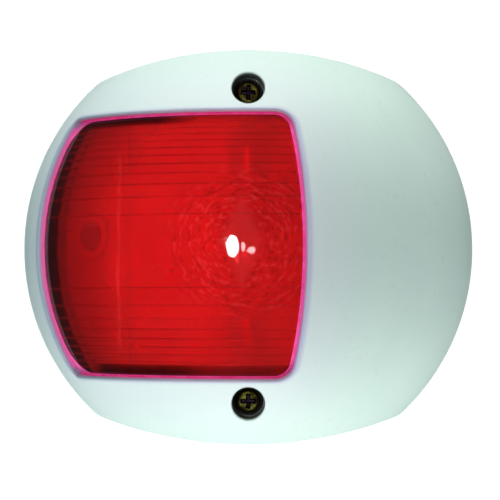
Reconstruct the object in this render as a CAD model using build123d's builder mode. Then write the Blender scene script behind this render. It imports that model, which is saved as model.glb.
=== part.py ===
from build123d import *
import os
from math import cos, radians, sin, sqrt, tan

# Port side light for a small boat: a domed white housing with a red window that shows from
# dead ahead (-X) to just abaft the beam, over a base that carries a double-ended lamp.
# +Z is up, the light faces -Y, and the origin is the middle of its mounting face, on y = 0.
# A depth is a distance in front of that face, so depth d lies at y = -d. Millimetres.
# A sketch on front(d) has X to the right and Z up, and extrudes forwards.

# ---- housing ----
WIDTH = 92.0              # across the round ends
HEIGHT = 80.0             # across the shallow arcs of the top and bottom
FLANK_R = 84.0            # those arcs' radius
CORNER_R = 5.5            # where they meet the round ends
DRAFT = 4.0               # degrees, of the side walls
DOME_R = 47.0             # the front is part of a sphere
DOME_DEPTH = 39.0         # depth of its crown
SPHERE_Y = DOME_R - DOME_DEPTH   # its centre lies behind the mounting face
WALL = 2.4
EDGE_R = 1.2              # where the side walls meet the dome
WINDOW_EDGE_R = 0.5
WELL_EDGE_R = 0.3

# ---- depths of the layers ----
GASKET_T = 1.2
FLOOR = 3.2               # front face of the base's floor
COVER_BACK = 3.4          # the cover rests on its seal, just clear of the base
SPIGOT_TOP = 7.0          # the rim that stands inside the cover
SPIGOT_INSET = 4.3
SPIGOT_T = 1.6

# ---- window ----
WINDOW_HALF = 25.4        # half its height
END_LEAN = 21.5           # degrees, the plane of its forward end leans back this much inside
END_PLANE = 4.2           # and passes the sphere's centre at this distance
SECTOR = 22.5             # degrees, its after end is cut along this line past the lamp
SECTOR_X = 2.7            # where that line passes the lamp's depth
END_R = 1.5               # corner radii at the forward and after ends
AFTER_R = 2.8
LENS_END_R = 6.0          # the lens's own corners at the forward end, filled out by the bead
SEAL_W = 0.5              # the bead around the lens
FLANGE_W = 1.8            # the lens runs on behind the cover by this much
PAD_R = 45.7              # sphere of the lens's face, set back from the cover's
FLANGE_R = DOME_R - WALL - 0.1
LENS_INNER_R = 42.9
RIB_DEPTH = 0.8
RIB_MIDDLE = -1.2         # height of the lens's optical centre
RIB_FIRST = 6.76          # half height of the middle band
RIB_STEP = 56.3           # square millimetres: z squared grows by this from rib to rib
RIBS = 11

# ---- cover screws ----
SCREW_Z = 30.2
WELL_R = 3.15
SEAT = 17.2               # depth of the shoulder under each seal
PILLAR_BACK = 11.0
PILLAR_R = 4.6
SCREW_R = 1.95
SCREW_END = 4.6
SCREW_HEAD_R = 2.45
SCREW_HEAD_H = 2.1
SCREW_SEAL_T = 0.8
THREAD_PITCH = 0.8
THREAD_DEPTH = 0.22
THREADS = 9
INSERT_R = 2.8
INSERT_BORE_R = 2.0
INSERT_BACK = 3.6
INSERT_TOP = 10.6
BOSS_TOP = 10.8
BOSS_R = 4.2

# ---- mounting holes and wire inlet ----
MOUNT_X = 31.5
MOUNT_Z = 1.4
MOUNT_HOLE_R = 2.1
MOUNT_BOSS_R = 3.1
MOUNT_BOSS_TOP = 6.2
WIRE_AT = (27.0, -11.0)
WIRE_BORE_R = 2.75
WIRE_HOLE_R = 4.0
GROMMET_R = 5.0

# ---- lamp: a festoon bulb, upright ----
LAMP_DEPTH = 17.0
GLASS_R = 5.2
GLASS_T = 0.6
CAP_R = 4.3
TIP_R = 1.4
TIP_Z = 20.5
CARRIER_T = 2.0
STRIP_T = 0.6
ARM_Z = 19.15             # inner face of each spring arm
ARM_W = 6.0
ARM_TOP = 21.5
ARM_GAP = 0.15            # between an arm's root and the strip that it stands on
FORK_R = 1.55
TERMINAL = (21.5, 20.2)   # x and z of the upper terminal
STRIP_RIVET_X = 8.0

# ---- light screen ----
SCREEN_X = 16.0
SCREEN_T = 1.0
SCREEN_HALF = 24.0
SCREEN_RIVETS = [(19.0, 6.0), (19.0, -6.0)]

# ---- small features of the base ----
GASKET_INSET = 1.0
SEAL_INSET = 1.2          # the cover's seal lies this far inside the outline
SEAL_T = 1.0
SEAL_BACK = 2.3
POST = (28.5, 20.5)       # the guide posts, this far forward of the middle, up and down
POST_R = 1.7
POST_TOP = 9.5
RIB_X = 25.0
RIB_T = 1.3
RIB_HALF = 20.0
RIB_H = 2.8
GROMMET_BACK = 0.2
GROMMET_TOP = 4.6
FIXING_R = 0.95           # holes for rivets and the carrier's screws
FIXING_END = 1.7
CARRIER_SCREWS = [(0, 9.0), (0, -9.0)]

# ---- small features of the lamp and its holder ----
CARRIER_W = 8.0
WING_W = 6.8
WING_END = 4.0            # a wing runs this far past its terminal
STRIP_W = 5.0
STRIP_RIVET_R = 0.8
RIVET_HEAD_R = 1.5
RIVET_HEAD_H = 0.7
SMALL_HEAD_R = 1.9
SMALL_HEAD_H = 1.1
SLOT_W = 0.6
TERMINAL_R = 1.4
TERMINAL_HEAD_R = 2.5
TERMINAL_HEAD_H = 1.5
WASHER_R = 3.1
WASHER_T = 0.6
NUT_FLATS = 5.0
NUT_T = 1.5
ARM_LIP = 1.8
ARM_FLARE = 0.9
NECK_R = 3.85             # the glass's ends, inside the caps
NECK_END = 14.5
SHOULDER = 10.2
SHOULDER_END = 12.0
CAP_END = 17.0
CAP_FLOOR = 16.2
FILAMENT_HALF = 4.4
FILAMENT_R = 0.5
FILAMENT_WIRE_R = 0.12
FILAMENT_TURNS = 12
LEAD_R = 0.25

# ---- small features of the light screen ----
SCREEN_BEND = 18.0        # depth at which it folds towards the window
SCREEN_GAP = 0.4          # to the lens's ribs
SCREEN_FOOT_HALF = 16.5
SCREEN_OPENING_TOP = 8.0
SCREEN_FLANGE = 5.2
SCREEN_FLANGE_HALF = 9.0

# ---- small features of the screws ----
SCREW_SEAL_R = 2.9
RECESS = 3.0              # the cross recess, across
RECESS_DEPTH = 1.3
RECESS_TAPER = 12.0

CARRIER_TOP = FLOOR + CARRIER_T
STRIP_TOP = CARRIER_TOP + STRIP_T
BOTH = (1, -1)
SCREW_SPOTS = [(0, side * SCREW_Z) for side in BOTH]
MOUNTS = [(side * MOUNT_X, MOUNT_Z) for side in BOTH]
TERMINALS = [(TERMINAL[0], side * TERMINAL[1]) for side in BOTH]


def front(depth):
    """The plane at this depth that faces forwards, with X to the right and Z up."""
    return Plane.XZ.offset(depth)


def outline(inset=0.0):
    """The housing's outline at its mounting face, moved inwards by inset."""
    with BuildSketch(Plane.XY, mode=Mode.PRIVATE) as shape:
        Circle(WIDTH / 2 - inset)
        for side in BOTH:
            with Locations((0, side * (HEIGHT / 2 - FLANK_R))):
                Circle(FLANK_R - inset, mode=Mode.INTERSECT)
        fillet(shape.vertices(), max(CORNER_R - inset, 1.0))
    return shape.sketch


def domed(inset):
    """A solid of the housing's whole shape, its faces moved inwards by inset."""
    with BuildPart(mode=Mode.PRIVATE) as solid:
        with BuildSketch(front(0)):
            add(outline(inset))
        extrude(amount=DOME_DEPTH, taper=DRAFT)
        with Locations((0, SPHERE_Y, 0)):
            Sphere(DOME_R - inset, mode=Mode.INTERSECT)
    return solid.part


def window(grow, end_radius=END_R):
    """A wedge with the window's outline, its faces moved outwards by grow."""
    height = 2 * (WINDOW_HALF + grow)
    far = 80.0
    lean, sector = radians(END_LEAN), radians(SECTOR)
    with BuildPart(mode=Mode.PRIVATE) as forward_end:
        with Locations(Location((0, SPHERE_Y, 0), (0, 0, END_LEAN))):
            with Locations((0, grow - END_PLANE, 0)):
                Box(2 * far, far, height, align=(Align.CENTER, Align.MAX, Align.CENTER))
        along = Axis((0, 0, 0), (cos(lean), sin(lean), 0))
        inwards = Axis((0, 0, 0), (-sin(lean), cos(lean), 0))
        end_edges = forward_end.edges().filter_by(along).sort_by(inwards)[-2:]
        fillet(end_edges, end_radius + grow)
    with BuildPart(mode=Mode.PRIVATE) as wedge:
        with Locations(Location((SECTOR_X, -LAMP_DEPTH, 0), (0, 0, SECTOR))):
            with Locations((grow, 0, 0)):
                Box(far, 2 * far, height, align=(Align.MAX, Align.CENTER, Align.CENTER))
        sector_line = Axis((0, 0, 0), (sin(sector), -cos(sector), 0))
        after_edges = wedge.edges().filter_by(sector_line).group_by(Axis.X)[-1]
        fillet(after_edges, AFTER_R + grow)
        add(forward_end.part, mode=Mode.INTERSECT)
    return wedge.part


def ball(radius):
    """A sphere about the dome's centre."""
    with BuildPart(mode=Mode.PRIVATE) as sphere:
        with Locations((0, SPHERE_Y, 0)):
            Sphere(radius)
    return sphere.part


def on_ball(radius, low, high):
    """A test for edges on that sphere whose middles lie between two heights above or below Z = 0.

    It leaves out the edges of the cover's open back.
    """
    centre = Vector(0, SPHERE_Y, 0)

    def test(edge):
        middle = edge @ 0.5
        on_it = abs((middle - centre).length - radius) < 0.01
        return on_it and low < abs(middle.Z) < high and middle.Y < -COVER_BACK - 0.1

    return test


os.makedirs("parts", exist_ok=True)

# ---- cover: a shell of even thickness, open at the back, with two pillars for its screws ----
with BuildPart() as pillars:
    with BuildSketch(front(PILLAR_BACK)):
        with Locations(*SCREW_SPOTS):
            Circle(PILLAR_R)
    extrude(amount=DOME_DEPTH)
    add(domed(WALL / 2), mode=Mode.INTERSECT)

with BuildPart() as cover:
    add(domed(0))
    add(domed(WALL), mode=Mode.SUBTRACT)
    split(bisect_by=front(COVER_BACK), keep=Keep.TOP)
    add(pillars.part)
    add(window(0), mode=Mode.SUBTRACT)
    fillet(cover.edges().filter_by(on_ball(DOME_R, WINDOW_HALF + 1, HEIGHT / 2)), EDGE_R)
    fillet(cover.edges().filter_by(on_ball(DOME_R, 0, WINDOW_HALF + 0.1)), WINDOW_EDGE_R)
    well_mouth = front(DOME_DEPTH)
    with Locations(*[well_mouth * Location((x, z, 0)) for x, z in SCREW_SPOTS]):
        CounterBoreHole(
            radius=SCREW_R + 0.15,
            counter_bore_radius=WELL_R,
            counter_bore_depth=DOME_DEPTH - SEAT,
            depth=DOME_DEPTH - PILLAR_BACK + 1,
        )
    fillet(cover.edges().filter_by(on_ball(DOME_R, WINDOW_HALF + 1, SCREW_Z + WELL_R)), WELL_EDGE_R)

cover.part.label = "cover"
export_step(cover.part, "parts/cover.step")


# ---- lens: a face that fills the window and a thinner flange behind the cover ----
def rib_height(index, side):
    """Height of the middle end of that rib; ribs of one depth get shorter towards the edge."""
    return RIB_MIDDLE + side * sqrt(RIB_FIRST**2 + RIB_STEP * (index - 1))


def reach(radius, height):
    """How far forward of the sphere's centre a sphere of that radius is at that height."""
    return sqrt(radius**2 - height**2)


def ribs(side):
    """The section's points from its upper or lower edge to the middle band."""
    points = [(reach(LENS_INNER_R, rim), side * rim)]
    for rib in range(RIBS, 0, -1):
        height = rib_height(rib, side)
        valley = reach(LENS_INNER_R, height)
        if rib < RIBS:
            points.append((valley - RIB_DEPTH, height))
        points.append((valley, height))
    return points


rim = WINDOW_HALF + FLANGE_W + 1

with BuildPart() as rebate:
    add(ball(DOME_R))
    add(ball(FLANGE_R), mode=Mode.SUBTRACT)
    add(window(-SEAL_W, LENS_END_R), mode=Mode.SUBTRACT)

with BuildPart() as lens:
    lens_section = Plane(origin=(0, SPHERE_Y, 0), x_dir=(0, -1, 0), z_dir=(-1, 0, 0))
    with BuildSketch(lens_section):
        with BuildLine():
            face = ThreePointArc((reach(PAD_R, rim), -rim), (PAD_R, 0), (reach(PAD_R, rim), rim))
            upper = Polyline(face @ 1, *ribs(1))
            lower = Polyline(face @ 0, *ribs(-1))
            ThreePointArc(upper @ 1, (LENS_INNER_R - RIB_DEPTH, RIB_MIDDLE), lower @ 1)
        make_face()
    revolve(axis=Axis((0, SPHERE_Y, 0), (0, 0, 1)))
    add(window(FLANGE_W), mode=Mode.INTERSECT)
    add(rebate.part, mode=Mode.SUBTRACT)
    with BuildSketch(front(0)):
        with Locations(*SCREW_SPOTS):
            Circle(PILLAR_R + 0.15)
    extrude(amount=DOME_DEPTH, mode=Mode.SUBTRACT)

lens.part.label = "lens"
export_step(lens.part, "parts/lens.step")

with BuildPart() as lens_seal:
    add(ball(PAD_R))
    add(window(0), mode=Mode.INTERSECT)
    add(ball(FLANGE_R), mode=Mode.SUBTRACT)
    add(window(-SEAL_W, LENS_END_R), mode=Mode.SUBTRACT)

lens_seal.part.label = "lens_seal"
export_step(lens_seal.part, "parts/lens_seal.step")

# ---- base ----
with BuildPart() as gasket:
    with BuildSketch(front(0)):
        add(outline(GASKET_INSET))
        with Locations(*MOUNTS):
            Circle(MOUNT_HOLE_R + 0.3, mode=Mode.SUBTRACT)
        with Locations(WIRE_AT):
            Circle(GROMMET_R + 0.2, mode=Mode.SUBTRACT)
    extrude(amount=GASKET_T)

gasket.part.label = "back_gasket"
export_step(gasket.part, "parts/back_gasket.step")

with BuildPart() as base_plate:
    # floor, as wide as the cover, and the rim that stands inside it
    with BuildSketch(front(0)):
        add(outline())
    extrude(amount=FLOOR, taper=DRAFT)
    split(bisect_by=front(GASKET_T), keep=Keep.TOP)
    chamfer(base_plate.faces().sort_by(Axis.Y)[0].edges(), 0.3)
    with BuildSketch(front(FLOOR)):
        add(outline(SPIGOT_INSET))
        add(outline(SPIGOT_INSET + SPIGOT_T), mode=Mode.SUBTRACT)
    extrude(amount=SPIGOT_TOP - FLOOR)
    # bosses for the cover screws, the mounting screws and the posts that guide the cover on
    with BuildSketch(front(FLOOR)):
        with Locations(*SCREW_SPOTS):
            Circle(BOSS_R)
    extrude(amount=BOSS_TOP - FLOOR)
    with BuildSketch(front(FLOOR)):
        with Locations(*MOUNTS):
            Circle(MOUNT_BOSS_R)
    extrude(amount=MOUNT_BOSS_TOP - FLOOR)
    with BuildSketch(front(FLOOR)):
        with Locations((-POST[0], POST[1]), (-POST[0], -POST[1])):
            Circle(POST_R)
    extrude(amount=POST_TOP - FLOOR, taper=DRAFT)
    # ribs: a long one across the forward end, and one from each mounting boss to the rim
    with BuildSketch(front(FLOOR)):
        with Locations((-RIB_X, 0)):
            Rectangle(RIB_T, 2 * RIB_HALF)
        rib_length = WIDTH / 2 - SPIGOT_INSET - SPIGOT_T / 2 - MOUNT_X
        for side in BOTH:
            with Locations((side * (MOUNT_X + rib_length / 2), MOUNT_Z)):
                Rectangle(rib_length, RIB_T)
    extrude(amount=RIB_H)
    # groove for the cover's seal
    with BuildSketch(front(SEAL_BACK - 0.1)):
        add(outline(SEAL_INSET - 0.1))
        add(outline(SEAL_INSET + SEAL_T + 0.1), mode=Mode.SUBTRACT)
    extrude(amount=FLOOR - SEAL_BACK + 0.1, mode=Mode.SUBTRACT)
    # holes: mounting screws, wires, inserts and the small fixings of what the base carries
    with BuildSketch(front(0)):
        with Locations(*MOUNTS):
            Circle(MOUNT_HOLE_R)
        with Locations(WIRE_AT):
            Circle(WIRE_HOLE_R)
    extrude(amount=MOUNT_BOSS_TOP, mode=Mode.SUBTRACT)
    with BuildSketch(front(INSERT_BACK)):
        with Locations(*SCREW_SPOTS):
            Circle(INSERT_R)
    extrude(amount=BOSS_TOP - INSERT_BACK, mode=Mode.SUBTRACT)
    with BuildSketch(front(FIXING_END)):
        with Locations(*SCREEN_RIVETS, *CARRIER_SCREWS):
            Circle(FIXING_R)
    extrude(amount=FLOOR - FIXING_END, mode=Mode.SUBTRACT)

base_plate.part.label = "base_plate"
export_step(base_plate.part, "parts/base_plate.step")

with BuildPart() as cover_seal:
    with BuildSketch(front(SEAL_BACK)):
        add(outline(SEAL_INSET))
        add(outline(SEAL_INSET + SEAL_T), mode=Mode.SUBTRACT)
    extrude(amount=COVER_BACK - SEAL_BACK)

cover_seal.part.label = "cover_seal"
export_step(cover_seal.part, "parts/cover_seal.step")

with BuildPart() as grommet:
    wire_x, wire_z = WIRE_AT
    with BuildSketch(Plane(origin=(wire_x, 0, wire_z))):
        Polygon(
            (WIRE_BORE_R, -GROMMET_BACK),
            (GROMMET_R, -GROMMET_BACK),
            (GROMMET_R, -GASKET_T),
            (WIRE_HOLE_R, -GASKET_T),
            (WIRE_HOLE_R, -FLOOR),
            (GROMMET_R, -FLOOR),
            (GROMMET_R - 0.5, -GROMMET_TOP),
            (WIRE_BORE_R, -GROMMET_TOP),
            align=None,
        )
    revolve(axis=Axis((wire_x, 0, wire_z), (0, 1, 0)))

grommet.part.label = "wire_grommet"
export_step(grommet.part, "parts/wire_grommet.step")

# ---- brass inserts, pressed into the base's bosses ----
with BuildPart() as inserts:
    with BuildSketch(front(INSERT_BACK)):
        with Locations(*SCREW_SPOTS):
            Circle(INSERT_R)
            Circle(INSERT_BORE_R, mode=Mode.SUBTRACT)
    extrude(amount=INSERT_TOP - INSERT_BACK)
    with BuildSketch(front((INSERT_BACK + INSERT_TOP) / 2 - 0.4)):
        with Locations(*SCREW_SPOTS):
            Circle(INSERT_R)
            Circle(INSERT_R - 0.35, mode=Mode.SUBTRACT)
    extrude(amount=0.8, mode=Mode.SUBTRACT)

inserts.part.label = "threaded_inserts"
export_step(inserts.part, "parts/threaded_inserts.step")


# ---- fasteners ----
head_back = SEAT + SCREW_SEAL_T
for name, z in (("top", SCREW_Z), ("bottom", -SCREW_Z)):
    # a pan head with a cross recess, over a shank whose end has ring grooves for its thread
    with BuildPart() as cover_screw:
        with BuildSketch(front(head_back)):
            with Locations((0, z)):
                Circle(SCREW_HEAD_R)
        extrude(amount=SCREW_HEAD_H)
        head_face = cover_screw.faces().sort_by(Axis.Y)[0]
        fillet(head_face.edges(), SCREW_HEAD_H * 0.4)
        with BuildSketch(front(head_back + SCREW_HEAD_H)):
            with Locations((0, z)):
                Rectangle(RECESS, RECESS * 0.3)
                Rectangle(RECESS * 0.3, RECESS)
        extrude(amount=-RECESS_DEPTH, taper=RECESS_TAPER, mode=Mode.SUBTRACT)
        with BuildSketch(Plane.XY.offset(z)):
            with BuildLine():
                thread = [(SCREW_R, -head_back - 0.01)]
                for turn in range(THREADS, 0, -1):
                    crest = SCREW_END + turn * THREAD_PITCH
                    thread += [(SCREW_R, -crest), (SCREW_R - THREAD_DEPTH, -crest + THREAD_PITCH / 2)]
                thread += [(SCREW_R, -SCREW_END - 0.4), (SCREW_R - 0.4, -SCREW_END)]
                Polyline((0, -head_back - 0.01), *thread, (0, -SCREW_END), close=True)
            make_face()
        revolve(axis=Axis((0, 0, z), (0, 1, 0)))

    cover_screw.part.label = f"cover_screw_{name}"
    export_step(cover_screw.part, f"parts/cover_screw_{name}.step")

    with BuildPart() as screw_seal:
        with BuildSketch(front(SEAT)):
            with Locations((0, z)):
                Circle(SCREW_SEAL_R)
                Circle(SCREW_R + 0.05, mode=Mode.SUBTRACT)
        extrude(amount=SCREW_SEAL_T)
        fillet(screw_seal.edges().filter_by(GeomType.CIRCLE).group_by(SortBy.RADIUS)[-1], 0.25)

    screw_seal.part.label = f"screw_seal_{name}"
    export_step(screw_seal.part, f"parts/screw_seal_{name}.step")

# ---- lamp carrier: an insulating plate under the lamp, with a wing for each terminal ----
wing_length = TERMINAL[0] + WING_END + CARRIER_W / 2
with BuildPart() as lamp_carrier:
    with BuildSketch(front(FLOOR)) as carrier_shape:
        Rectangle(CARRIER_W, 2 * (TERMINAL[1] + WING_W / 2))
        with Locations(*[(wing_length / 2 - CARRIER_W / 2, z) for _, z in TERMINALS]):
            Rectangle(wing_length, WING_W)
        fillet(carrier_shape.vertices(), 1.0)
    extrude(amount=CARRIER_T)
    with BuildSketch(front(FLOOR)):
        with Locations(*CARRIER_SCREWS):
            Circle(FIXING_R)
        with Locations(*[(STRIP_RIVET_X, z) for _, z in TERMINALS]):
            Circle(STRIP_RIVET_R + 0.05)
        with Locations(*TERMINALS):
            Circle(TERMINAL_R + 0.1)
    extrude(amount=CARRIER_T, mode=Mode.SUBTRACT)
    with BuildSketch(front(FLOOR)):
        with Locations(*TERMINALS):
            RegularPolygon(NUT_FLATS / 2 + 0.05, 6, major_radius=False)
    extrude(amount=NUT_T + 0.1, mode=Mode.SUBTRACT)

lamp_carrier.part.label = "lamp_carrier"
export_step(lamp_carrier.part, "parts/lamp_carrier.step")

with BuildPart() as carrier_screws:
    with BuildSketch(front(FIXING_END + 0.1)):
        with Locations(*CARRIER_SCREWS):
            Circle(FIXING_R - 0.05)
    extrude(amount=CARRIER_TOP - FIXING_END - 0.1)
    with BuildSketch(front(CARRIER_TOP)):
        with Locations(*CARRIER_SCREWS):
            Circle(SMALL_HEAD_R)
    extrude(amount=SMALL_HEAD_H)
    fillet(carrier_screws.faces().group_by(Axis.Y)[0].edges(), SMALL_HEAD_H * 0.45)
    with BuildSketch(front(CARRIER_TOP + SMALL_HEAD_H)):
        with Locations(*CARRIER_SCREWS):
            Rectangle(2 * SMALL_HEAD_R, SLOT_W)
    extrude(amount=-SMALL_HEAD_H / 2, mode=Mode.SUBTRACT)

carrier_screws.part.label = "carrier_screws"
export_step(carrier_screws.part, "parts/carrier_screws.step")

with BuildPart() as terminal_nuts:
    with BuildSketch(front(FLOOR + 0.1)):
        with Locations(*TERMINALS):
            RegularPolygon(NUT_FLATS / 2, 6, major_radius=False)
            Circle(TERMINAL_R + 0.05, mode=Mode.SUBTRACT)
    extrude(amount=NUT_T)

terminal_nuts.part.label = "terminal_nuts"
export_step(terminal_nuts.part, "parts/terminal_nuts.step")

with BuildPart() as terminal_washers:
    with BuildSketch(front(STRIP_TOP)):
        with Locations(*TERMINALS):
            Circle(WASHER_R)
            Circle(TERMINAL_R + 0.1, mode=Mode.SUBTRACT)
    extrude(amount=WASHER_T)

terminal_washers.part.label = "terminal_washers"
export_step(terminal_washers.part, "parts/terminal_washers.step")

with BuildPart() as terminal_screws:
    with BuildSketch(front(FLOOR + 0.2)):
        with Locations(*TERMINALS):
            Circle(TERMINAL_R)
    extrude(amount=STRIP_TOP + WASHER_T - FLOOR - 0.2)
    with BuildSketch(front(STRIP_TOP + WASHER_T)):
        with Locations(*TERMINALS):
            Circle(TERMINAL_HEAD_R)
    extrude(amount=TERMINAL_HEAD_H)
    fillet(terminal_screws.faces().group_by(Axis.Y)[0].edges(), TERMINAL_HEAD_H * 0.35)
    with BuildSketch(front(STRIP_TOP + WASHER_T + TERMINAL_HEAD_H)):
        with Locations(*TERMINALS):
            Rectangle(SLOT_W, 2 * TERMINAL_HEAD_R)
    extrude(amount=-TERMINAL_HEAD_H / 2, mode=Mode.SUBTRACT)

terminal_screws.part.label = "terminal_screws"
export_step(terminal_screws.part, "parts/terminal_screws.step")

with BuildPart() as strip_rivets:
    rivet_spots = [(STRIP_RIVET_X, z) for _, z in TERMINALS]
    with BuildSketch(front(FLOOR + 0.2)):
        with Locations(*rivet_spots):
            Circle(STRIP_RIVET_R)
    extrude(amount=STRIP_TOP - FLOOR - 0.2)
    with BuildSketch(front(STRIP_TOP)):
        with Locations(*rivet_spots):
            Circle(RIVET_HEAD_R)
    extrude(amount=RIVET_HEAD_H)
    fillet(strip_rivets.faces().group_by(Axis.Y)[0].edges(), RIVET_HEAD_H * 0.7)

strip_rivets.part.label = "strip_rivets"
export_step(strip_rivets.part, "parts/strip_rivets.step")

for name, side in (("top", 1), ("bottom", -1)):
    # the flat brass strip from under the lamp's end to its terminal
    with BuildPart() as contact_strip:
        strip_length = TERMINAL[0] + WING_END - 0.7 + ARM_W / 2
        with BuildSketch(front(CARRIER_TOP)) as strip_shape:
            with Locations((strip_length / 2 - ARM_W / 2, side * TERMINAL[1])):
                Rectangle(strip_length, STRIP_W)
            fillet(strip_shape.vertices(), 1.0)
            with Locations((TERMINAL[0], side * TERMINAL[1])):
                Circle(TERMINAL_R + 0.1, mode=Mode.SUBTRACT)
            with Locations((STRIP_RIVET_X, side * TERMINAL[1])):
                Circle(STRIP_RIVET_R + 0.05, mode=Mode.SUBTRACT)
        extrude(amount=STRIP_T)

    contact_strip.part.label = f"contact_strip_{name}"
    export_step(contact_strip.part, f"parts/contact_strip_{name}.step")

    # the spring arm that grips the lamp: a fork open to the front, its lip flared outwards
    with BuildPart() as contact_arm:
        inner, outer = side * ARM_Z, side * (ARM_Z + STRIP_T)
        flare = side * ARM_FLARE
        root, bend = STRIP_TOP + ARM_GAP, ARM_TOP - ARM_LIP
        with BuildSketch(Plane.YZ.offset(-ARM_W / 2)):
            Polygon(
                (-root, inner),
                (-bend, inner),
                (-ARM_TOP, inner + flare),
                (-ARM_TOP, outer + flare),
                (-bend, outer),
                (-root, outer),
                align=None,
            )
        extrude(amount=ARM_W)
        with BuildSketch(Plane.XY.offset(side * (ARM_Z - 1))):
            with Locations((0, -LAMP_DEPTH)):
                Circle(FORK_R)
                Rectangle(2 * FORK_R, ARM_TOP, align=(Align.CENTER, Align.MAX))
        extrude(amount=side * 4, mode=Mode.SUBTRACT)

    contact_arm.part.label = f"contact_arm_{name}"
    export_step(contact_arm.part, f"parts/contact_arm_{name}.step")

# ---- lamp: a glass tube between two metal caps, about an upright axis ----
lamp_axis = Axis((0, -LAMP_DEPTH, 0), (0, 0, 1))

with BuildPart() as bulb_glass:
    with BuildSketch(front(LAMP_DEPTH)):
        bore, neck_bore = GLASS_R - GLASS_T, NECK_R - GLASS_T
        outside = [(neck_bore, NECK_END), (NECK_R, NECK_END), (NECK_R, SHOULDER_END), (GLASS_R, SHOULDER)]
        inside = [(bore, SHOULDER), (neck_bore, SHOULDER_END)]
        lower_outside = [(x, -z) for x, z in reversed(outside)]
        lower_inside = [(x, -z) for x, z in reversed(inside)]
        Polygon(*outside, *lower_outside, *lower_inside, *inside, align=None)
    revolve(axis=lamp_axis)
    shoulders = bulb_glass.edges().filter_by(GeomType.CIRCLE).group_by(SortBy.RADIUS)[-1]
    fillet(shoulders, 0.8)

bulb_glass.part.label = "bulb_glass"
export_step(bulb_glass.part, "parts/bulb_glass.step")

with BuildPart() as bulb_caps:
    for side in BOTH:
        with BuildSketch(front(LAMP_DEPTH)):
            Polygon(
                (NECK_R + 0.05, side * (SHOULDER_END + 0.1)),
                (CAP_R, side * (SHOULDER_END + 0.1)),
                (CAP_R, side * CAP_END),
                (TIP_R, side * (ARM_Z - ARM_GAP)),
                (TIP_R, side * (TIP_Z - 0.5)),
                (TIP_R - 0.5, side * TIP_Z),
                (0, side * TIP_Z),
                (0, side * CAP_FLOOR),
                (NECK_R + 0.05, side * CAP_FLOOR),
                align=None,
            )
        revolve(axis=lamp_axis)

bulb_caps.part.label = "bulb_caps"
export_step(bulb_caps.part, "parts/bulb_caps.step")

with BuildPart() as filament:
    with BuildSketch(Plane.XY.offset(-FILAMENT_HALF)):
        with Locations((0, -LAMP_DEPTH)):
            Circle(FILAMENT_R - FILAMENT_WIRE_R)
    extrude(amount=2 * FILAMENT_HALF)
    pitch = 2 * (FILAMENT_HALF - FILAMENT_WIRE_R) / (FILAMENT_TURNS - 1)
    first = FILAMENT_WIRE_R - FILAMENT_HALF
    with Locations(*[(0, -LAMP_DEPTH, first + pitch * turn) for turn in range(FILAMENT_TURNS)]):
        Torus(FILAMENT_R, FILAMENT_WIRE_R * 1.2)

filament.part.label = "filament"
export_step(filament.part, "parts/filament.step")

with BuildPart() as filament_leads:
    for side in BOTH:
        with BuildSketch(Plane.XY.offset(side * FILAMENT_HALF)):
            with Locations((0, -LAMP_DEPTH)):
                Circle(LEAD_R)
        extrude(amount=side * (CAP_FLOOR - FILAMENT_HALF))

filament_leads.part.label = "filament_leads"
export_step(filament_leads.part, "parts/filament_leads.step")

# ---- light screen: a folded sheet that ends along the window's after edge ----
with BuildPart() as light_screen:
    with BuildSketch(Plane.XY.offset(-SCREEN_HALF)):
        with BuildLine():
            edge_x = SECTOR_X + (DOME_DEPTH - LAMP_DEPTH) * tan(radians(SECTOR))
            Polyline((SCREEN_X, -FLOOR), (SCREEN_X, -SCREEN_BEND), (edge_x, -DOME_DEPTH))
        trace(line_width=SCREEN_T)
    extrude(amount=2 * SCREEN_HALF)
    add(ball(LENS_INNER_R - RIB_DEPTH - SCREEN_GAP), mode=Mode.INTERSECT)
    # openings at its foot for the carrier's wings and the strips
    with BuildSketch(front(0)):
        opening = SCREEN_HALF - SCREEN_FOOT_HALF
        with Locations(*[(SCREEN_X, side * (SCREEN_HALF - opening / 2)) for side in BOTH]):
            Rectangle(3 * SCREEN_T, opening)
    extrude(amount=SCREEN_OPENING_TOP, mode=Mode.SUBTRACT)
    # the flange that the rivets hold
    with BuildSketch(front(FLOOR)):
        with Locations((SCREEN_X, 0)):
            Rectangle(SCREEN_FLANGE, 2 * SCREEN_FLANGE_HALF, align=(Align.MIN, Align.CENTER))
        with Locations(*SCREEN_RIVETS):
            Circle(FIXING_R, mode=Mode.SUBTRACT)
    extrude(amount=SCREEN_T)

light_screen.part.label = "light_screen"
export_step(light_screen.part, "parts/light_screen.step")

with BuildPart() as screen_rivets:
    with BuildSketch(front(FIXING_END + 0.1)):
        with Locations(*SCREEN_RIVETS):
            Circle(FIXING_R - 0.05)
    extrude(amount=FLOOR + SCREEN_T - FIXING_END - 0.1)
    with BuildSketch(front(FLOOR + SCREEN_T)):
        with Locations(*SCREEN_RIVETS):
            Circle(RIVET_HEAD_R)
    extrude(amount=RIVET_HEAD_H)
    fillet(screen_rivets.faces().group_by(Axis.Y)[0].edges(), RIVET_HEAD_H * 0.7)

screen_rivets.part.label = "screen_rivets"
export_step(screen_rivets.part, "parts/screen_rivets.step")
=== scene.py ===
import math

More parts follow.
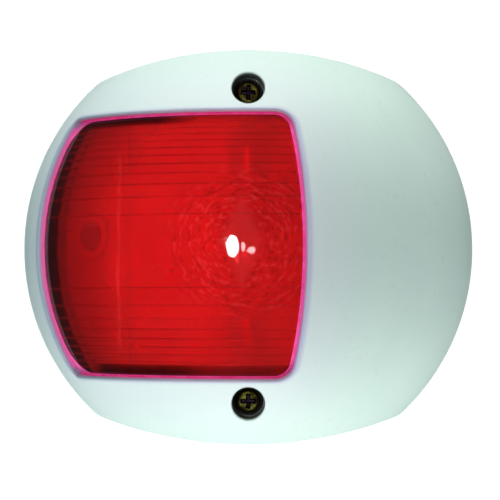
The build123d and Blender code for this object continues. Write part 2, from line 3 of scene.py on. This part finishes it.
import bpy
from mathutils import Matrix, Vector


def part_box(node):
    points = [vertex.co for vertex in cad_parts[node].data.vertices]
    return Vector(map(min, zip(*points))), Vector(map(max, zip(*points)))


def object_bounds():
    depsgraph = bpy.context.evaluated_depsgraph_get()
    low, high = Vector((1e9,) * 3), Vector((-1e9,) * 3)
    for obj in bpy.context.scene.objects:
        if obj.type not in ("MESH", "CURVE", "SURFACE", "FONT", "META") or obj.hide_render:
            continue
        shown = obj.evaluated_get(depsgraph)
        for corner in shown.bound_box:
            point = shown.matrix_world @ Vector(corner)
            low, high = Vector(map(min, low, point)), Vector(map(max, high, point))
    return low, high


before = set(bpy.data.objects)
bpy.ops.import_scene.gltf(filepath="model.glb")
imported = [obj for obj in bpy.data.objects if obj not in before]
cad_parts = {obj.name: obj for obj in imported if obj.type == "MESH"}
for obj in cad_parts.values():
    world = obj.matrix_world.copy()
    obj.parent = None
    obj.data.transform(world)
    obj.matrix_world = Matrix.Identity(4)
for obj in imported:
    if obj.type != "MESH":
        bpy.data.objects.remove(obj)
cad_low, cad_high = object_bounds()
cad_middle = (cad_low + cad_high) / 2

COVER_SCREWS = ("cover_screw_top", "cover_screw_bottom")

# the camera and the studio
CAMERA_DISTANCE = 0.400       # from the mounting face
CAMERA_ELEVATION = -1.5       # degrees
CAMERA_SENSOR = 36.0          # millimetres wide
CAMERA_LENS = 139.9           # millimetres
CAMERA_AIM = (0.00035, -0.00015)     # right of and above the object's middle
FLOOR_DROP = 0.70             # from the object's lowest point to the floor
FLOOR_RADIUS = 12.0
SOFTBOX_DISTANCE = 0.60
LAMP_DISTANCE = 0.75          # of the snoot and of the lamps that are only mirrored

# the dome, the lens and the window, in metres and degrees
SPHERE_CENTRE = (0.0, 0.008, 0.0)    # of the dome and the lens
LENS_INNER_SIDE = (0.0446, 0.0440)   # from that centre: nearer than this is the lens's inner face
END_LEAN = 21.5               # degrees, and the distance from that centre, of the lens's forward end
END_PLANE = 0.0042
WINDOW_HALF = 0.0254          # half the window's height
WINDOW_CORNER = 0.0026
SECTOR = 22.5                 # degrees, the window's after edge leans by this
SECTOR_POINT = (0.0027, -0.017)      # and passes through this point, seen from above

# marks on the cover. Where there are two values, a mark fades from one to the other.
EDGE_SHADE = (0.0002, 0.0014)         # painted shade, outside the window
OUTER_SHADE = (0.002, 0.016)          # painted shade, outside the window
EDGE_TURNS = (-0.032, -0.006)        # along x, the painted shade's colour changes over this
SEALANT_REACH = 0.0463        # from the sphere's centre, how far up the ledge the sealant comes
SEALANT_FADE = 0.0002
SEALANT_EDGE = (0.0004, 0.0001)      # outside the window's outline, none past the first
SEALANT_DEPTH = (0.006, 0.009)       # in front of the mounting face
WELL_R = (0.0034, 0.0031)     # of the wells round the cover screws
RECESS_R = (0.0018, 0.0015)   # of the cross recess in a screw's head
RECESS_DEPTH = (0.00035, 0.00055)    # behind the front of the head

# the lens's ribs and its painted marks
RIB_MIDDLE = -0.0012          # height of the lens's optical centre
RIB_FIRST = 0.00676           # half height of its plain middle band
RIB_STEP = 0.0000563          # the square of the height grows by this from rib to rib
GROOVE_WIDTH = (0.00012, 0.00034)
RUNG_WIDTH = (0.0002, 0.0007)
GROOVE_FADE = (-0.006, -0.016)       # along x, grooves are fainter towards the first
END_SHADE = (0.0056, 0.0068)  # inside the window's forward end
END_DIMMED = (0.006, 0.024)   # and the wider, fainter painted shade beyond it
LOW_SHADE = (-0.0232, -0.0226)       # height of the upper side of the dark band at the foot
HIGH_SHADE = (0.0229, 0.0237)        # height of the lower side of the dark band at the top
STIPPLE_CENTRE = (-0.0012, 0.0005)   # in front view, x and z
STIPPLE_EDGE = (0.0175, 0.0095)      # from that centre
STROKES_OUT = 1500.0          # noise cells to the metre, outwards
STROKES_ROUND = 5.0           # noise cells to the radian, round the centre
PATCH_EDGE = (0.0052, 0.0026)        # of the plain patch, a painted highlight, sideways from the centre
PATCH_SLENDER = 0.45          # its width over its height
BRIGHT_LINE_X = -0.0247           # of the bright upright line, a painted highlight
BRIGHT_LINE_WIDTH = (0.00055, 0.00012)
BRIGHT_LINE_TALL = (0.0205, 0.0165)
WOBBLE = 0.0012               # how far the painted edges wander


# ---- node helpers ----
def middle_of(node):
    """The middle of a CAD node's box."""
    low, high = (Vector(corner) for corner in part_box(node))
    return (low + high) / 2


class Finish:
    """A material and the nodes that its colour, roughness and relief are built from."""

    def __init__(self, name):
        self.material = bpy.data.materials.new(name)
        self.material.use_nodes = True
        self.tree = self.material.node_tree
        self.shader = self.tree.nodes["Principled BSDF"]
        self.output = self.tree.nodes["Material Output"]
        self.place = self.tree.nodes.new("ShaderNodeTexCoord").outputs["Object"]

    def set(self, node, inputs):
        for key, value in inputs.items():
            socket = node.inputs[key]
            if isinstance(value, bpy.types.NodeSocket):
                self.tree.links.new(value, socket)
            else:
                socket.default_value = value

    def node(self, kind, inputs=None, **settings):
        made = self.tree.nodes.new(kind)
        for key, value in settings.items():
            setattr(made, key, value)
        self.set(made, inputs or {})
        return made

    def stretched(self, scale):
        """The place in the object, stretched along each axis."""
        return self.node("ShaderNodeMapping", {"Vector": self.place, "Scale": scale}).outputs["Vector"]

    def noise(self, size, detail=4.0, rough=0.55, place=None):
        """Noise with features of about this size in metres."""
        inputs = {"Vector": place or self.place, "Scale": 1 / size, "Detail": detail, "Roughness": rough}
        return self.node("ShaderNodeTexNoise", inputs).outputs["Fac"]

    def cells(self, size):
        inputs = {"Vector": self.place, "Scale": 1 / size}
        return self.node("ShaderNodeTexVoronoi", inputs).outputs["Distance"]

    def span(self, value, low, high, to_low=0.0, to_high=1.0):
        """value, with low..high stretched to to_low..to_high and held at the ends."""
        inputs = {"Value": value, "From Min": low, "From Max": high, "To Min": to_low, "To Max": to_high}
        return self.node("ShaderNodeMapRange", inputs, interpolation_type="SMOOTHSTEP").outputs["Result"]

    def maths(self, operation, first, second):
        made = self.node("ShaderNodeMath", operation=operation)
        self.set(made, {0: first, 1: second})
        return made.outputs[0]

    def times(self, first, second):
        return self.maths("MULTIPLY", first, second)

    def absolute(self, value):
        return self.maths("ABSOLUTE", value, 0)

    def hypotenuse(self, across, up):
        squares = self.maths("ADD", self.times(across, across), self.times(up, up))
        return self.maths("SQRT", squares, 0)

    def blend(self, factor, first, second):
        """The colour first where factor is 0, and second where it is 1."""
        made = self.node("ShaderNodeMix", data_type="RGBA")
        self.set(made, {0: factor, 6: first, 7: second})
        return made.outputs[2]

    def relief(self, height, depth, under=None):
        """A bump whose full height is depth metres."""
        inputs = {"Height": height, "Distance": depth, "Strength": 1.0}
        if under is not None:
            inputs["Normal"] = under
        return self.node("ShaderNodeBump", inputs).outputs["Normal"]

    def lets_light_in(self, colour, share):
        """Lamps shine through this material by this share, tinted with colour."""
        clear = self.node("ShaderNodeBsdfTransparent", {"Color": colour})
        shadow_ray = self.node("ShaderNodeLightPath").outputs["Is Shadow Ray"]
        mixed = self.node("ShaderNodeMixShader")
        self.set(mixed, {0: self.times(shadow_ray, share), 1: self.shader.outputs[0], 2: clear.outputs[0]})
        self.tree.links.new(mixed.outputs[0], self.output.inputs["Surface"])

    def split(self, vector):
        made = self.node("ShaderNodeSeparateXYZ", {"Vector": vector})
        return made.outputs["X"], made.outputs["Y"], made.outputs["Z"]

    def depth(self):
        """Distance in front of the mounting face, in metres."""
        return self.times(self.split(self.place)[1], -1.0)

    def from_axis(self, x, z):
        """Distance in front view from a line that runs straight back."""
        here_x, _, here_z = self.split(self.place)
        across = self.maths("SUBTRACT", here_x, x)
        up = self.maths("SUBTRACT", here_z, z)
        return self.hypotenuse(across, up)

    def from_point(self, point):
        ends = {0: self.place, 1: point}
        return self.node("ShaderNodeVectorMath", ends, operation="DISTANCE").outputs["Value"]

    def along(self, origin, degrees):
        """Distance from origin, in plan, along the direction at that many degrees from +X."""
        x, y, _ = self.split(self.place)
        lean = math.radians(degrees)
        across = self.times(self.maths("SUBTRACT", x, origin[0]), math.cos(lean))
        back = self.times(self.maths("SUBTRACT", y, origin[1]), math.sin(lean))
        return self.maths("ADD", across, back)

    def past_end(self):
        """Distance inside the window from its forward end."""
        return self.maths("SUBTRACT", self.along(SPHERE_CENTRE, END_LEAN - 90), END_PLANE)

    def outside_window(self):
        """Distance outside the window's outline, whose corners are round."""
        above = self.maths("SUBTRACT", self.absolute(self.split(self.place)[2]), WINDOW_HALF)
        before = self.times(self.past_end(), -1.0)
        beside = self.maths("MAXIMUM", before, self.along(SECTOR_POINT, SECTOR))
        gaps = (self.maths("ADD", gap, WINDOW_CORNER) for gap in (above, beside))
        above, beside = (self.maths("MAXIMUM", gap, 0.0) for gap in gaps)
        return self.maths("SUBTRACT", self.hypotenuse(above, beside), WINDOW_CORNER)


def moulded(name, colour, shade, rough, grain, grain_depth, grime):
    """Moulded plastic: cloudy colour, fine grain, a few faint scuffs and some grime at the back."""
    finish = Finish(name)
    clouds = finish.span(finish.noise(0.018, 3.0), 0.35, 0.65)
    specks = finish.span(finish.noise(0.0011, 2.0), 0.60, 0.72)
    body = finish.blend(clouds, colour, shade)
    body = finish.blend(finish.times(specks, 0.10), body, grime)
    settled = finish.span(finish.depth(), 0.0012, 0.0075, 1.0, 0.0)
    patchy = finish.times(settled, finish.span(finish.noise(0.006, 5.0), 0.42, 0.75))
    body = finish.blend(finish.times(patchy, 0.35), body, grime)
    scuffs = finish.span(finish.noise(0.0035, 6.0, 0.7, finish.stretched((0.25, 1.0, 1.6))), 0.60, 0.70)
    satin = finish.span(finish.noise(0.009, 4.0), 0.3, 0.7, rough - 0.04, rough + 0.05)
    satin = finish.maths("ADD", satin, finish.times(scuffs, 0.10))
    fine = finish.relief(finish.noise(grain, 3.0, 0.6), grain_depth)
    normal = finish.relief(finish.noise(0.02, 2.0), 0.00005, fine)
    finish.set(finish.shader, {"Base Color": body, "Roughness": satin, "Normal": normal, "IOR": 1.49})
    return finish


def metal(name, colour, dull, rough, tarnish, line=(1.0, 1.0, 1.0)):
    """Metal: fine drawn or turned lines, and tarnish in patches that are also rougher."""
    finish = Finish(name)
    patches = finish.span(finish.noise(0.0016, 5.0), 0.5 - tarnish / 2, 0.85 - tarnish / 2)
    lines = finish.noise(0.00035, 4.0, 0.65, finish.stretched(line))
    body = finish.blend(patches, colour, dull)
    body = finish.blend(finish.span(lines, 0.35, 0.75, 0.0, 0.25), body, dull)
    gloss = finish.span(patches, 0.0, 1.0, rough, rough + 0.25)
    gloss = finish.maths("ADD", gloss, finish.span(lines, 0.3, 0.7, 0.0, 0.08))
    normal = finish.relief(lines, 0.000006)
    finish.set(finish.shader, {"Base Color": body, "Metallic": 1.0, "Roughness": gloss, "Normal": normal})
    return finish


def rubber(name, colour, bloom, rough, grain, grain_depth):
    """Rubber or foam: dark, with a paler bloom in patches."""
    finish = Finish(name)
    haze = finish.span(finish.noise(0.004, 5.0), 0.45, 0.75, 0.0, 0.6)
    gloss = finish.span(finish.noise(0.002, 4.0), 0.3, 0.7, rough - 0.07, rough + 0.07)
    normal = finish.relief(finish.cells(grain), grain_depth)
    body = finish.blend(haze, colour, bloom)
    finish.set(finish.shader, {"Base Color": body, "Roughness": gloss, "Normal": normal})
    return finish


# ---- materials ----
HOUSING_LOOK = {
    "colour": (0.735, 0.89, 0.81, 1),
    "shade": (0.71, 0.865, 0.795, 1),
    "rough": 0.34,
    "grain": 0.00030,
    "grain_depth": 0.000012,
    "grime": (0.45, 0.46, 0.40, 1),
}
housing = moulded("housing_white", **HOUSING_LOOK)

# the cover is the same plastic, and has marks of its own: painted shade round the window and in the screw
# wells, and sealant
cover = moulded("housing_white_cover", **HOUSING_LOOK)


def tinted(body, outside):
    """Painted shade round the window: close to it, bluish at the forward end and violet towards the after
    side, and a paler grey shade further out.
    """
    outer_shade = cover.times(cover.span(outside, *OUTER_SHADE, 1.0, 0.0), 0.5)
    body = cover.blend(outer_shade, body, (0.76, 0.79, 0.83, 1))
    towards_after = cover.span(cover.split(cover.place)[0], *EDGE_TURNS)
    near_shade_colour = cover.blend(towards_after, (0.33, 0.40, 0.55, 1), (0.54, 0.49, 0.72, 1))
    edge_shade = cover.times(cover.span(outside, *EDGE_SHADE, 1.0, 0.0), 0.8)
    return cover.blend(edge_shade, body, near_shade_colour)


def with_sealant(body, outside):
    """Sealant has crept up the ledge round the lens."""
    crept = cover.span(cover.from_point(SPHERE_CENTRE), SEALANT_REACH + SEALANT_FADE, SEALANT_REACH)
    crept = cover.times(crept, cover.span(outside, *SEALANT_EDGE))
    crept = cover.times(crept, cover.span(cover.depth(), *SEALANT_DEPTH))
    return cover.blend(cover.times(crept, 0.9), body, (0.97, 0.20, 0.58, 1))


def with_shaded_wells(body):
    """Painted shade: the wells round the screw heads are darker."""
    for name in COVER_SCREWS:
        spot = middle_of(name)
        in_well = cover.span(cover.from_axis(spot.x, spot.z), *WELL_R)
        body = cover.blend(cover.times(in_well, 0.82), body, (0.13, 0.155, 0.115, 1))
    return body


outside = cover.outside_window()
body = cover.shader.inputs["Base Color"].links[0].from_socket
body = with_shaded_wells(with_sealant(tinted(body, outside), outside))
cover.set(cover.shader, {"Base Color": body})

INNER_LOOK = {"rough": 0.5, "grain": 0.0004, "grain_depth": 0.00002}
screen = moulded(
    "screen_white", (0.80, 0.82, 0.80, 1), (0.74, 0.77, 0.74, 1), grime=(0.4, 0.38, 0.3, 1), **INNER_LOOK
)
carrier = moulded(
    "carrier_white", (0.62, 0.60, 0.54, 1), (0.56, 0.54, 0.48, 1), grime=(0.3, 0.27, 0.2, 1), **INNER_LOOK
)
foam = rubber("gasket_foam", (0.020, 0.020, 0.022, 1), (0.05, 0.05, 0.052, 1), 0.85, 0.0005, 0.00012)
seal = rubber("seal_rubber", (0.012, 0.012, 0.013, 1), (0.04, 0.04, 0.042, 1), 0.55, 0.0008, 0.00001)
screw = metal("screw_brass", (0.13, 0.115, 0.020, 1), (0.035, 0.028, 0.012, 1), 0.36, 0.4)
# painted shade, nearly black, in the heads' cross recesses
screw_body = screw.shader.inputs["Base Color"].links[0].from_socket
for name in COVER_SCREWS:
    spot = middle_of(name)
    head_front = -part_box(name)[0][1]
    behind = (head_front - depth for depth in RECESS_DEPTH)
    recess = screw.times(screw.span(screw.from_axis(spot.x, spot.z), *RECESS_R), 0.85)
    recess = screw.times(recess, screw.span(screw.depth(), *behind))
    screw_body = screw.blend(recess, screw_body, (0.020, 0.008, 0.034, 1))
screw.set(screw.shader, {"Base Color": screw_body})
brass = metal("brass", (0.80, 0.58, 0.25, 1), (0.42, 0.27, 0.10, 1), 0.22, 0.1, (0.3, 1.0, 1.0))
bright = metal("bright_metal", (0.78, 0.77, 0.74, 1), (0.45, 0.43, 0.38, 1), 0.16, 0.0)
wire = metal("filament_wire", (0.36, 0.35, 0.34, 1), (0.18, 0.17, 0.17, 1), 0.35, 0.1)

# the lens: clear red acrylic, darker over its forward end as painted shade, with a stippled patch inside
# near the lamp, partly relief and partly painted glints, shade and highlight
red = Finish("red_lens")


def lens_grooves(x, height):
    """Painted shade along the grooves between the ribs, stronger in some places than in others, and the
    broader rungs beside them.
    """
    rib_area = red.maths("SUBTRACT", red.times(height, height), RIB_FIRST**2)
    rib_count = red.maths("DIVIDE", rib_area, RIB_STEP)
    rib_phase = red.maths("FRACT", rib_count, 0)
    past_groove = red.maths("DIVIDE", red.times(rib_phase, RIB_STEP / 2), height)
    has_rib = red.span(rib_count, 0.0, 0.02)
    groove_shade_strength = red.span(red.noise(0.010, 4.0, 0.6, red.stretched((0.35, 1.0, 1.0))), 0.36, 0.62, 0.12, 0.62)
    groove_shade_strength = red.times(groove_shade_strength, red.span(x, *GROOVE_FADE, 0.42, 1.0))
    groove = red.times(red.span(past_groove, *GROOVE_WIDTH, 1.0, 0.0), has_rib)
    rung = red.times(red.span(past_groove, *RUNG_WIDTH, 1.0, 0.0), has_rib)
    return red.times(groove, groove_shade_strength), rung


def lens_shade(x, z, past_end, wobble, rung):
    """Painted shade: the dark bands at the window's forward end, foot and top, the forward one broken by
    lighter rungs.
    """
    end_shade = red.span(red.maths("ADD", past_end, wobble), *END_SHADE, 1.0, 0.0)
    end_shade = red.times(end_shade, red.maths("SUBTRACT", 1.0, red.times(rung, 0.55)))
    low_shade = red.times(red.span(z, *LOW_SHADE, 1.0, 0.0), red.span(x, -0.031, -0.028))
    low_shade = red.times(low_shade, red.span(x, -0.016, -0.004, 1.0, 0.62))
    high_shade = red.times(red.span(z, *HIGH_SHADE), red.span(x, -0.008, -0.018))
    return red.maths("MAXIMUM", red.maths("MAXIMUM", low_shade, high_shade), end_shade)


def lens_stipple(across, up):
    """Short curved strokes round the lamp, for relief and for painted glints and shade: their grain, where
    they are, and the plain patch between them.
    """
    spread = red.hypotenuse(across, up)
    strokes = red.node(
        "ShaderNodeCombineXYZ",
        {
            "X": red.times(spread, STROKES_OUT),
            "Y": red.times(red.maths("ARCTAN2", up, across), STROKES_ROUND),
            "Z": red.times(red.noise(0.003, 2.0), 3.0),
        },
    ).outputs["Vector"]
    grain = red.node("ShaderNodeTexNoise", {"Vector": strokes, "Scale": 1.0, "Detail": 3.0}).outputs["Fac"]
    tall = red.maths("ADD", red.absolute(across), red.times(red.absolute(up), PATCH_SLENDER))
    patch = red.span(tall, *PATCH_EDGE)
    stipple = red.times(red.span(spread, *STIPPLE_EDGE), red.maths("SUBTRACT", 1.0, patch))
    return grain, stipple, patch


def lens_bright_line(x, height, wobble):
    """A painted highlight: a bright upright line towards the forward end."""
    from_line = red.absolute(red.maths("SUBTRACT", red.maths("ADD", x, wobble), BRIGHT_LINE_X))
    line = red.times(red.span(from_line, *BRIGHT_LINE_WIDTH), red.span(height, *BRIGHT_LINE_TALL))
    return red.times(line, red.span(red.noise(0.004, 3.0), 0.35, 0.65, 0.35, 0.85))


x, _, z = red.split(red.place)
height = red.absolute(red.maths("SUBTRACT", z, RIB_MIDDLE))
across = red.maths("SUBTRACT", x, STIPPLE_CENTRE[0])
up = red.maths("SUBTRACT", z, STIPPLE_CENTRE[1])
past_end = red.past_end()
wobble = red.times(red.maths("SUBTRACT", red.noise(0.004, 2.0), 0.5), WOBBLE)
groove, rung = lens_grooves(x, height)
grain, stipple, patch = lens_stipple(across, up)
tone = red.span(red.noise(0.012, 4.0), 0.35, 0.65)
towards_end = red.span(past_end, *END_DIMMED, 1.0, 0.0)
# painted glints and painted shade: lighter and darker strokes round the lamp's reflection
glint_strokes = red.times(red.span(grain, 0.54, 0.66), stipple)
shade_strokes = red.times(red.span(grain, 0.45, 0.36), stipple)
body = red.blend(tone, (0.86, 0.022, 0.023, 1), (0.77, 0.018, 0.020, 1))
# painted shade, fainter, over the forward end
body = red.blend(red.times(towards_end, 0.75), body, (0.38, 0.005, 0.006, 1))
# painted shade along the grooves
body = red.blend(groove, body, (0.20, 0.001, 0.002, 1))
body = red.blend(red.times(glint_strokes, 0.50), body, (1.0, 0.085, 0.085, 1))
body = red.blend(red.times(shade_strokes, 0.34), body, (0.46, 0.003, 0.004, 1))
# painted highlight: a lighter plain patch round the lamp's reflection
body = red.blend(red.times(patch, 0.45), body, (0.90, 0.075, 0.080, 1))
# painted highlight: a bright upright line towards the forward end
body = red.blend(lens_bright_line(x, height, wobble), body, (1.0, 0.055, 0.045, 1))
# painted shade: dark bands at the forward end, foot and top
shade = lens_shade(x, z, past_end, wobble, rung)
body = red.blend(red.times(shade, 0.93), body, (0.058, 0.001, 0.001, 1))
haze = red.span(red.noise(0.0030, 6.0, 0.65), 0.45, 0.75, 0.02, 0.06)
inner_side = red.span(red.from_point(SPHERE_CENTRE), *LENS_INNER_SIDE)
pebbles = red.times(red.times(grain, stipple), inner_side)
red_normal = red.relief(pebbles, 0.0004, red.relief(red.noise(0.004, 4.0), 0.000004))
red.set(
    red.shader,
    {
        "Base Color": body,
        "Roughness": haze,
        "Normal": red_normal,
        "Transmission Weight": 0.64,
        "IOR": 1.49,
    },
)
red.lets_light_in((0.95, 0.06, 0.07, 1), 0.9)

sealant = Finish("lens_sealant")
streaks = sealant.span(sealant.noise(0.002, 5.0), 0.35, 0.65)
sealant.set(
    sealant.shader,
    {
        "Base Color": sealant.blend(streaks, (0.97, 0.13, 0.46, 1), (0.86, 0.07, 0.32, 1)),
        "Roughness": sealant.span(streaks, 0.0, 1.0, 0.12, 0.25),
        "Normal": sealant.relief(sealant.noise(0.0012, 3.0), 0.00003),
        "Coat Weight": 0.4,
        # painted light: the sealant glows a little, though it is no lamp
        "Emission Color": (0.95, 0.05, 0.34, 1),
        "Emission Strength": 0.14,
    },
)

glass = Finish("bulb_glass")
glass.lets_light_in((0.96, 0.96, 0.96, 1), 0.9)
dust = glass.span(glass.noise(0.003, 5.0), 0.4, 0.7, 0.0, 0.05)
glass.set(
    glass.shader,
    {
        "Base Color": glass.blend(dust, (1, 1, 1, 1), (0.8, 0.78, 0.74, 1)),
        "Roughness": dust,
        "Transmission Weight": 1.0,
        "IOR": 1.5,
    },
)

FINISHES = {
    "housing_white": housing,
    "screen_white": screen,
    "carrier_white": carrier,
    "red_lens": red,
    "lens_sealant": sealant,
    "gasket_foam": foam,
    "seal_rubber": seal,
    "screw_brass": screw,
    "brass": brass,
    "bright_metal": bright,
    "bulb_glass": glass,
    "filament_wire": wire,
}
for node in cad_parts.values():
    slot_name = node.data.materials[0].name.split(".")[0]
    node.data.materials.clear()
    node.data.materials.append(FINISHES[slot_name].material)
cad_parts["cover"].data.materials[0] = cover.material

# ---- floor ----
bpy.ops.mesh.primitive_circle_add(
    vertices=96, radius=FLOOR_RADIUS, fill_type="NGON", location=(0, 0, cad_low.z - FLOOR_DROP)
)
floor = bpy.context.object
floor.name = "studio_floor"
pale = Finish("floor_white")
pale.set(
    pale.shader,
    {
        "Base Color": pale.blend(pale.noise(0.4, 3.0), (0.93, 0.93, 0.93, 1), (0.90, 0.905, 0.91, 1)),
        "Roughness": 0.8,
        "Emission Color": (1, 1, 1, 1),
        "Emission Strength": pale.node("ShaderNodeLightPath").outputs["Is Camera Ray"],
    },
)
floor.data.materials.append(pale.material)
floor.visible_glossy = False

# ---- world: white where it is seen, dim as light, and nearly dark in reflections ----
world = bpy.data.worlds.new("studio")
bpy.context.scene.world = world
world.use_nodes = True
nodes, links = world.node_tree.nodes, world.node_tree.links
path = nodes.new("ShaderNodeLightPath")


def sky(colour, strength):
    made = nodes.new("ShaderNodeBackground")
    made.inputs["Color"].default_value = (*colour, 1)
    made.inputs["Strength"].default_value = strength
    return made.outputs[0]


def where(ray, otherwise, then):
    made = nodes.new("ShaderNodeMixShader")
    links.new(path.outputs[ray], made.inputs[0])
    links.new(otherwise, made.inputs[1])
    links.new(then, made.inputs[2])
    return made.outputs[0]


lit = where("Is Glossy Ray", sky((0.84, 0.93, 1.0), 0.29), sky((0.85, 0.9, 1.0), 0.05))
seen = where("Is Camera Ray", lit, sky((1, 1, 1), 1.1))
links.new(seen, nodes["World Output"].inputs["Surface"])


# ---- lights ----
def face(made, target, direction, distance):
    """Puts an object at that azimuth, elevation and distance from target, and turns it to face target."""
    azimuth, elevation = (math.radians(angle) for angle in direction)
    away = Vector((
        math.sin(azimuth) * math.cos(elevation),
        -math.cos(azimuth) * math.cos(elevation),
        math.sin(elevation),
    ))
    made.location = target + away * distance
    made.rotation_mode = "QUATERNION"
    made.rotation_quaternion = (-away).to_track_quat("-Z", "Y")


def lamp_object(name, lamp, target, direction, distance):
    """The lamp as an object that faces target and that the camera doesn't see."""
    made = bpy.data.objects.new(name, lamp)
    bpy.context.scene.collection.objects.link(made)
    face(made, target, direction, distance)
    made.visible_camera = False
    return made


def softbox(name, direction, distance, size, radiance, colour, shape="RECTANGLE"):
    """A broad lamp that lights the object and isn't mirrored in it. size is its width and height."""
    lamp = bpy.data.lights.new(name, "AREA")
    lamp.shape = shape
    lamp.size, lamp.size_y = size
    lamp.energy = radiance * math.pi * size[0] * size[1]
    lamp.color = colour
    made = lamp_object(name, lamp, cad_middle, direction, distance)
    made.visible_glossy = False
    return made


def mirrored_lamp(name, direction, size, radiance, colour):
    """An oval lamp that is only mirrored in the object, and doesn't light it."""
    made = softbox(name, direction, LAMP_DISTANCE, size, radiance, colour, "ELLIPSE")
    made.visible_glossy = True
    made.visible_diffuse = False


def snoot(name, direction, target, beam, power):
    """A narrow soft-edged spot on target, which lights the window and little of the moulding round it."""
    lamp = bpy.data.lights.new(name, "SPOT")
    lamp.spot_size = 2 * math.atan(beam / LAMP_DISTANCE)
    lamp.spot_blend = 0.8
    lamp.shadow_soft_size = 0.03
    lamp.energy = power
    made = lamp_object(name, lamp, target, direction, LAMP_DISTANCE)
    made.visible_glossy = False


BROAD = (0.50, 0.30)
TALL = (0.30, 0.60)
for side, azimuth, radiance in (("left", -55, 4.4), ("right", 55, 3.35)):
    softbox(f"{side}_upper_softbox", (azimuth, 80), SOFTBOX_DISTANCE, BROAD, radiance, (0.97, 1.0, 0.96))
    softbox(f"{side}_lower_softbox", (azimuth, -80), SOFTBOX_DISTANCE, BROAD, radiance, (0.96, 1.0, 0.99))
softbox("right_fill", (96, 0), SOFTBOX_DISTANCE, TALL, 1.3, (0.90, 1.0, 0.93))
softbox("left_fill", (-100, 0), SOFTBOX_DISTANCE, TALL, 0.9, (0.50, 0.86, 1.0))
snoot("window_spot", (-10, 3), middle_of("lens_seal"), 0.037, 10.5)
mirrored_lamp("front_lamp", (-7.8, 0.6), (0.082, 0.145), 26.0, (1, 1, 1))
mirrored_lamp("second_lamp", (-2.6, 0.2), (0.028, 0.060), 11.0, (1, 0.9, 0.9))
mirrored_lamp("third_lamp", (1.6, -1.4), (0.055, 0.045), 11.0, (1, 0.9, 0.9))

# ---- camera ----
aim = Vector((cad_middle.x + CAMERA_AIM[0], cad_high.y, cad_middle.z + CAMERA_AIM[1]))
camera = bpy.data.objects.new("camera", bpy.data.cameras.new("camera"))
bpy.context.scene.collection.objects.link(camera)
face(camera, aim, (0, CAMERA_ELEVATION), CAMERA_DISTANCE)
camera.data.sensor_width = CAMERA_SENSOR
camera.data.lens = CAMERA_LENS
camera.data.clip_start = 0.01
camera.data.clip_end = 20.0
bpy.context.scene.camera = camera
bpy.context.scene.view_settings.view_transform = "Standard"
